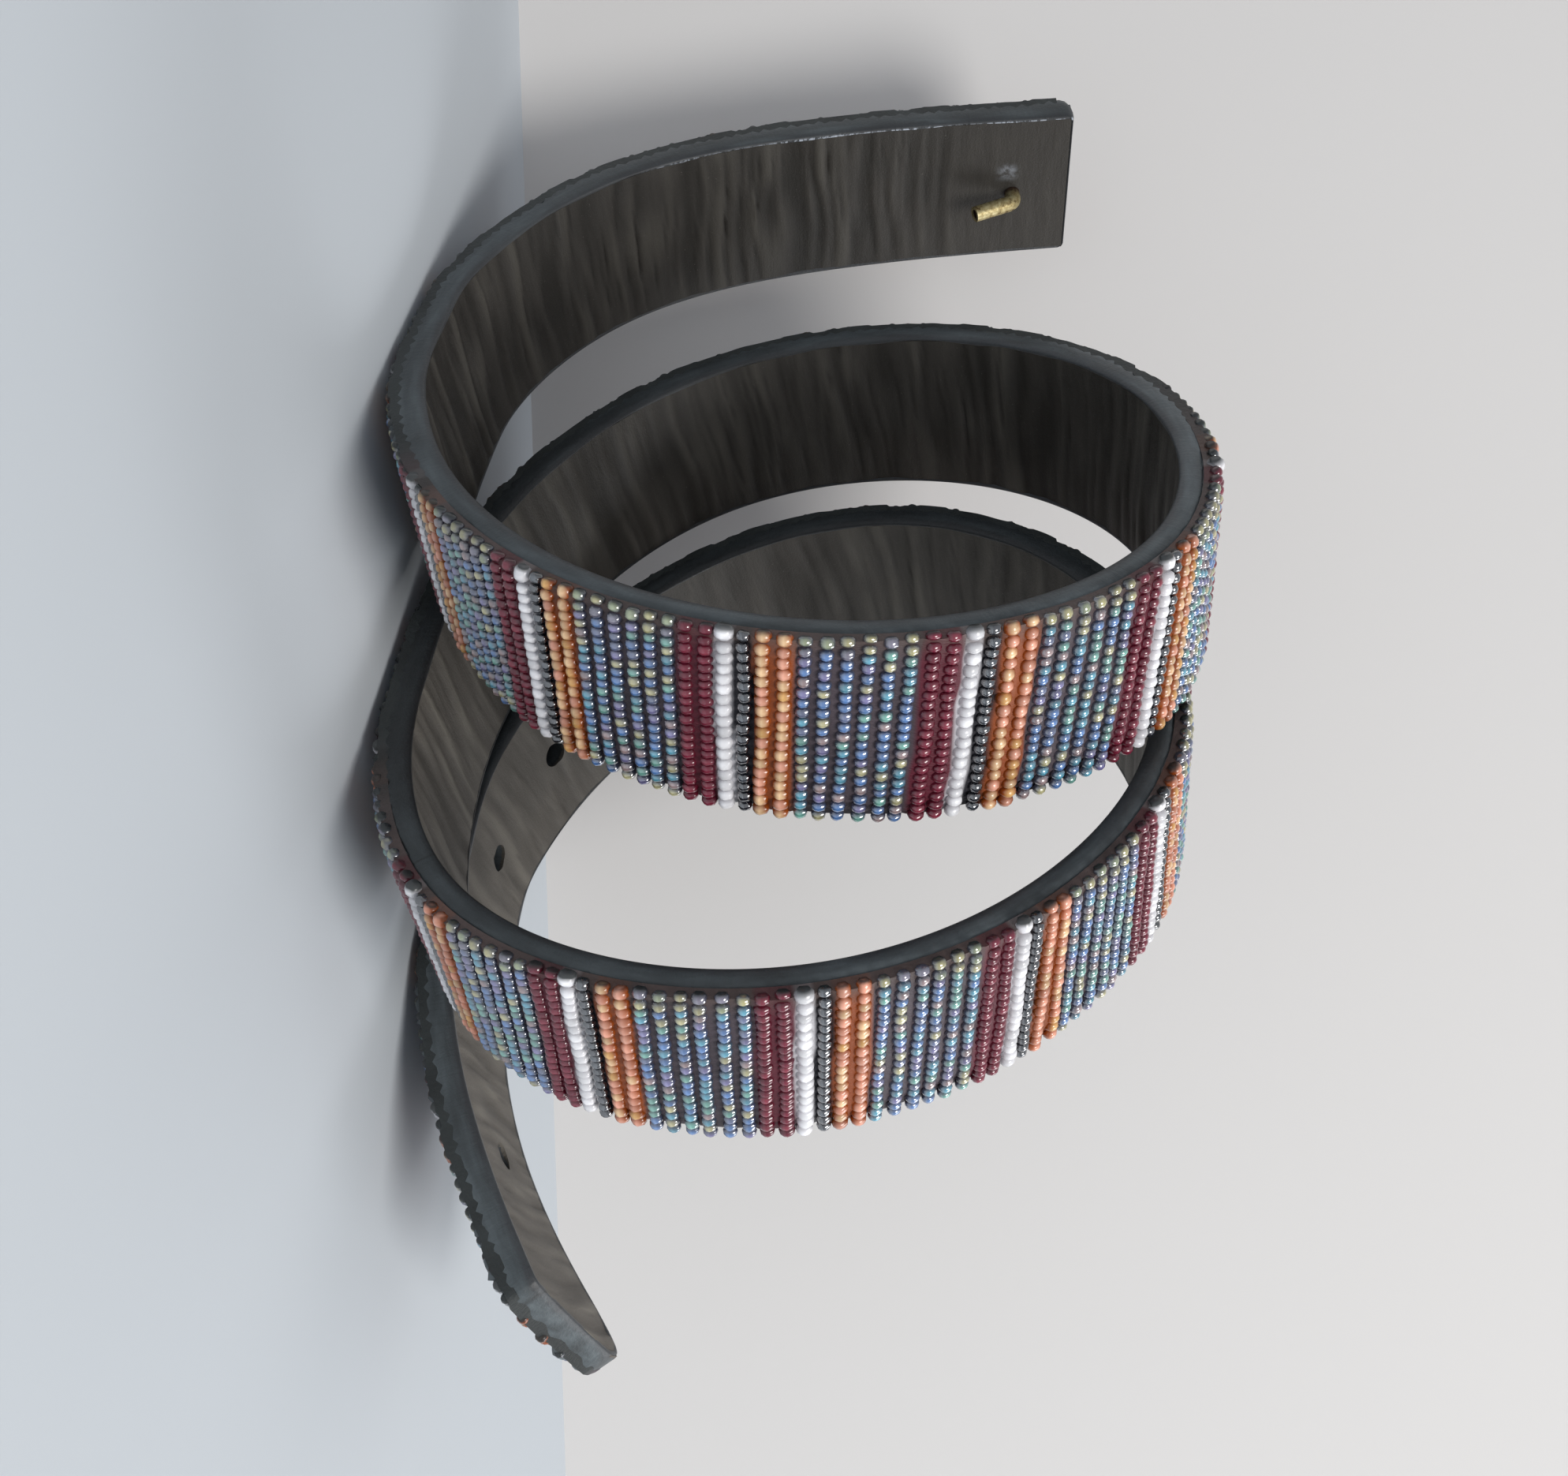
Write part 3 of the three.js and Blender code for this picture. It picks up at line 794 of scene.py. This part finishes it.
def bead_piece(name, kind, columns, finish):
    """All beads of some columns as one mesh."""
    rows = [column_places(kind, s) for s in columns]
    centres = np.concatenate([row[0] for row in rows])
    tilt = np.concatenate([row[1] for row in rows])
    wide = np.concatenate([row[2] for row in rows])
    long = np.concatenate([row[3] for row in rows])
    keep = np.ones(len(centres), bool)
    for s in HOLES_AT:
        keep &= np.hypot(centres[:, 0] - s, centres[:, 1] - HOLE_ACROSS) > HOLE_DIAMETER / 2 + 0.7
    centres, tilt, wide, long = centres[keep], tilt[keep], wide[keep], long[keep]
    count = len(centres)
    origin, run, width, out = frames(centres[:, 0])
    middle_point = origin + width * centres[:, 1:2] + out * centres[:, 2:3]
    lean = CHANCE.normal(0.0, 0.05, count)[:, None]
    thread = width * np.cos(tilt)[:, None] + out * np.sin(tilt)[:, None] + run * lean
    thread = unit(thread)
    up = unit(out - thread * (out * thread).sum(1, keepdims=True))
    cross = np.cross(thread, up)
    shape = BEAD_POINTS[None] * np.stack([wide, long, wide], 1)[:, None]
    points = middle_point[:, None] + shape[..., :1] * cross[:, None]
    points = points + shape[..., 1:2] * thread[:, None] + shape[..., 2:] * up[:, None]
    mesh = joined_beads(name, points * 0.001)
    colours = np.ones((count, len(BEAD_POINTS), 4))
    colours[..., :3] = bead_tints(kind, count, centres[:, 0], centres[:, 1])
    _, top = edges(centres[:, 0])
    reach = centres[:, 1:2] + shape[..., 1] - np.asarray(top)[:, None]
    covered = along_belt(PAINT_OVER, centres[:, :1])
    painted = np.clip((reach - 0.20 + 1.45 * covered) / 0.35, 0.0, 1.0) * 0.95
    colours[..., :3] += (np.array(PAINT_TINT) - colours[..., :3]) * painted[..., None]
    tint = mesh.attributes.new("tint", "FLOAT_COLOR", "POINT")
    tint.data.foreach_set("color", colours.astype(np.float32).ravel())
    bare = mesh.attributes.new("bare", "FLOAT", "POINT")
    bare.data.foreach_set("value", (1.0 - painted).astype(np.float32).ravel())
    obj = bpy.data.objects.new(name, mesh)
    bpy.context.scene.collection.objects.link(obj)
    dress(obj, name, finish, "seed_beads", "bead_rows")


def bead_bed():
    """Threads and glue that the beads sit in, raised and coloured column by column; the colours copy the
    dark, coloured gaps between the beads, so they are partly painted shade.
    """
    sheet = belt_sheet(3.2, 4.8, 0.02, 0.0, 1560, 8, 2.3)
    flat = flat_points(sheet)
    s, across, height = flat.T
    number = (s - stray(s, across) - FIRST_WHITE) / COLUMN_PITCH
    nearest = np.clip(np.round(number).astype(int), FIRST_COLUMN, LAST_COLUMN)
    kinds = np.array([KINDS[k % 12] for k in nearest])
    upper = height > 4.0
    colours = np.ones((len(flat), 4))
    shaped = flat.copy()
    for kind in BEADS:
        chosen = kinds == kind
        shaped[chosen & upper, 2] = BEADS[kind]["bed"]
        # Bed colours: thread colour with painted shade from the gaps between the beads.
        colours[chosen, :3] = TINTS[kind]["bed"]
    shaped[:, 2] += upper * 0.12 * ripple(61, 900.0, 1.7)(s + 0.5 * across + 20.0)
    low_edge, high_edge = edges(s)
    shaped[:, 2] -= upper * 0.9 * np.clip(1.0 - (across - low_edge) / 1.2, 0.0, 1.0)
    covered = along_belt(PAINT_OVER, s)
    glue = np.clip((across - (high_edge - 1.5)) / 0.9, 0.0, 1.0) * (0.85 - 0.35 * (kinds == "maroon"))
    colours[:, :3] += (np.array(GLUE_TINT) - colours[:, :3]) * glue[:, None]
    paint = np.clip((across - (high_edge - 2.2)) / 0.8, 0.0, 1.0) * covered
    colours[:, :3] += (np.array(PAINT_TINT) - colours[:, :3]) * paint[:, None]
    tone = 1.0 + 0.30 * ripple(62, 900.0, 2.9)(s + 0.8 * across + 20.0)
    colours[:, :3] *= tone[:, None]
    put_points(sheet, wind(shaped), flat)
    tint = sheet.data.attributes.new("tint", "FLOAT_COLOR", "POINT")
    tint.data.foreach_set("color", colours.astype(np.float32).ravel())
    mend_faces(sheet, 60)
    dress(sheet, "bead_bed", bed_finish(), "seed_beads", "bead_rows")


strap_body()
lining_sheet()
painted_edge()
bead_bed()

columns = {kind: [] for kind in BEADS}
for number in range(FIRST_COLUMN, LAST_COLUMN + 1):
    columns[KINDS[number % 12]].append(FIRST_WHITE + number * COLUMN_PITCH + CHANCE.normal(0.0, 0.05))

glass = {
    "white": bead_finish(
        "white_beads", 0.6, roughness=0.30, specular_ior_level=0.5, coat_roughness=0.16),
    "black": bead_finish(
        "gunmetal_beads", 1.0, roughness=0.25, metallic=0.3, coat_roughness=0.07, coat_ior=2.8),
    "amber": bead_finish(
        "amber_beads", 0.8, roughness=0.30, specular_ior_level=0.4, coat_roughness=0.14),
    "iris": bead_finish(
        "iris_beads", 1.0, roughness=0.28, metallic=0.1, coat_roughness=0.08, coat_ior=2.5),
    "maroon": bead_finish(
        "maroon_beads", 0.8, roughness=0.35, specular_ior_level=0.3, coat_roughness=0.07, coat_ior=1.8),
}
for kind in ("maroon", "white", "black", "amber"):
    bead_piece("beads_" + kind, kind, columns[kind], glass[kind])
third = len(columns["iris"]) / 3
for part, name in enumerate(("first", "middle", "last")):
    chosen = columns["iris"][round(part * third):round((part + 1) * third)]
    bead_piece("beads_iris_" + name, "iris", chosen, glass["iris"])

# Brass hook, in mm: a bent tube modelled upright and set into its place near the square end.
HOOK_AT = 9.5
HOOK_ACROSS = -1.08
HOOK_RADIUS = 1.3
HOOK_BORE = 0.85
HOOK_BEND = 1.6
HOOK_STAND = 3.1
HOOK_FOOT = 3.9
FOOT_STEPS = (2.4, 1.8)
HOOK_ARM = 6.3
HOOK_RISE = math.radians(20)


def brass_hook():
    """Run along X, belt's width along Y, outward along Z, in mm; the arm ends in an open bore."""
    bpy.ops.object.select_all(action="DESELECT")
    foot = (0.0, 0.0, HOOK_FOOT)
    bpy.ops.mesh.primitive_circle_add(vertices=28, radius=HOOK_RADIUS, fill_type="NGON", location=foot)
    hook = bpy.context.object
    select_only(hook)
    arm = np.array([math.cos(HOOK_RISE), 0.0, -math.sin(HOOK_RISE)])
    centre = (HOOK_BEND, 0.0, HOOK_BEND - HOOK_STAND)
    bpy.ops.object.transform_apply(location=True, rotation=True, scale=True)
    bpy.ops.object.mode_set(mode="EDIT")
    bpy.ops.mesh.select_all(action="SELECT")
    for drop in (*FOOT_STEPS, HOOK_FOOT - sum(FOOT_STEPS) - centre[2]):
        bpy.ops.mesh.extrude_region_move(TRANSFORM_OT_translate={"value": (0.0, 0.0, -drop)})
    bpy.ops.mesh.spin(steps=8, angle=math.pi / 2 - HOOK_RISE, center=centre, axis=(0.0, 1.0, 0.0))
    for share in (0.3, 0.3, 0.3, 0.08):
        bpy.ops.mesh.extrude_region_move(TRANSFORM_OT_translate={"value": tuple(arm * HOOK_ARM * share)})
    bpy.ops.mesh.extrude_region_move(TRANSFORM_OT_translate={"value": tuple(arm * HOOK_ARM * 0.02)})
    bpy.ops.mesh.inset(thickness=HOOK_RADIUS - HOOK_BORE)
    for share in (0.04, 0.26, 0.6):
        bpy.ops.mesh.extrude_region_move(TRANSFORM_OT_translate={"value": tuple(-arm * HOOK_ARM * share)})
    bpy.ops.object.mode_set(mode="OBJECT")
    points = flat_points(hook)
    start = np.array(centre) - HOOK_BEND * np.array([math.sin(HOOK_RISE), 0.0, math.cos(HOOK_RISE)])
    gone = (points - start) @ arm
    axle = np.linalg.norm(points - start - gone[:, None] * arm, axis=1)
    # Dark brown low on the foot, where it goes into the strap, and inside the bore.
    soil = np.clip((points[:, 2] + 1.9) / 1.0, 0.0, 1.0)
    soil = np.maximum(soil, ((axle < HOOK_BORE + 0.1) & (gone > 0.5) & (gone < HOOK_ARM - 0.1)) * 1.0)
    origin, run, width, out = (row[0] for row in frames(np.array([HOOK_AT])))
    placed = origin + run * points[:, :1] + width * (points[:, 1:2] + HOOK_ACROSS) + out * points[:, 2:]
    put_points(hook, placed * 0.001, points)
    keep_values(hook, "soil", soil)
    mend_faces(hook, 45)
    dress(hook, "brass_hook", brass_finish(), "brass", "closure_hook")


brass_hook()

# Floor and backdrop: the pale sheet that the coil lies on and the one behind it.
SEAM_NEAR = Vector((0.1462, -0.0612, 0.0))
SEAM_FAR = Vector((-0.0721, 0.0985, 0.0))


def sheet_of_paper(name, corners, colour):
    """A flat sheet for the floor or the backdrop."""
    mesh = bpy.data.meshes.new(name)
    mesh.from_pydata([tuple(c) for c in corners], [], [(0, 1, 2, 3)])
    obj = bpy.data.objects.new(name, mesh)
    bpy.context.scene.collection.objects.link(obj)
    finish = Finish(name, roughness=0.85, specular_ior_level=0.2)
    finish.set("Base Color", colour)
    mesh.materials.append(finish.material)


seam_run = (SEAM_NEAR - SEAM_FAR).normalized()
away = Vector((-seam_run.y, seam_run.x, 0.0))
lean_back = away * math.sin(math.radians(20)) + Vector((0, 0, 1)) * math.cos(math.radians(20))
drop = Vector((0.0, 0.0, -0.0004))
near = SEAM_NEAR + seam_run * 2.5 + drop
far = SEAM_FAR - seam_run * 2.5 + drop
ground = [near - away * 4, near + away * 0.02, far + away * 0.02, far - away * 4]
wall = [near, far, far - drop + lean_back * 3, near - drop + lean_back * 3]
sheet_of_paper("ground_sheet", ground, (0.53, 0.565, 0.60))
sheet_of_paper("back_sheet", wall, (0.69, 0.675, 0.665))

# Camera on its side, as the photo was taken.
camera = bpy.data.objects.new("camera", bpy.data.cameras.new("camera"))
bpy.context.scene.collection.objects.link(camera)
bpy.context.scene.camera = camera
camera.data.lens = 44.76
camera.data.sensor_width = 36.0
camera.data.shift_x = -0.0045
forward = Vector((0.66716, 0.71881, -0.19548)).normalized()
upright = Vector((-0.73366, 0.67950, -0.00528))
right = forward.cross(upright).normalized()
upright = right.cross(forward).normalized()
turn = Matrix((right, upright, -forward)).transposed().to_4x4()
camera_at = Vector((-0.19931 - CENTRE_ALONG * 0.001, -0.22259 - CENTRE_DEEP * 0.001, 0.11324))
camera.matrix_world = Matrix.Translation(camera_at) @ turn
camera.data.clip_start = 0.01
camera.data.clip_end = 20.0


def soft_light(name, place, aim, size, power, colour):
    """A round soft light at a place in metres, turned to its aim."""
    light = bpy.data.lights.new(name, "AREA")
    light.shape = "DISK"
    light.size = size
    light.energy = power
    light.color = colour
    obj = bpy.data.objects.new(name, light)
    bpy.context.scene.collection.objects.link(obj)
    obj.location = place
    obj.rotation_euler = (Vector(aim) - Vector(place)).to_track_quat("-Z", "Y").to_euler()


soft_light("key", (-0.10, -0.75, 0.85), (0.0, 0.0, 0.05), 0.50, 7.4, (1.0, 0.98, 0.95))
soft_light("tail_side", (0.75, -0.35, 0.60), (0.0, 0.0, 0.05), 0.50, 3.8, (0.96, 0.98, 1.0))
world = bpy.data.worlds.new("studio")
bpy.context.scene.world = world
world.use_nodes = True
world.node_tree.nodes["Background"].inputs[0].default_value = (0.92, 0.95, 1.0, 1.0)
world.node_tree.nodes["Background"].inputs[1].default_value = 0.47
bpy.context.scene.view_settings.view_transform = "Standard"
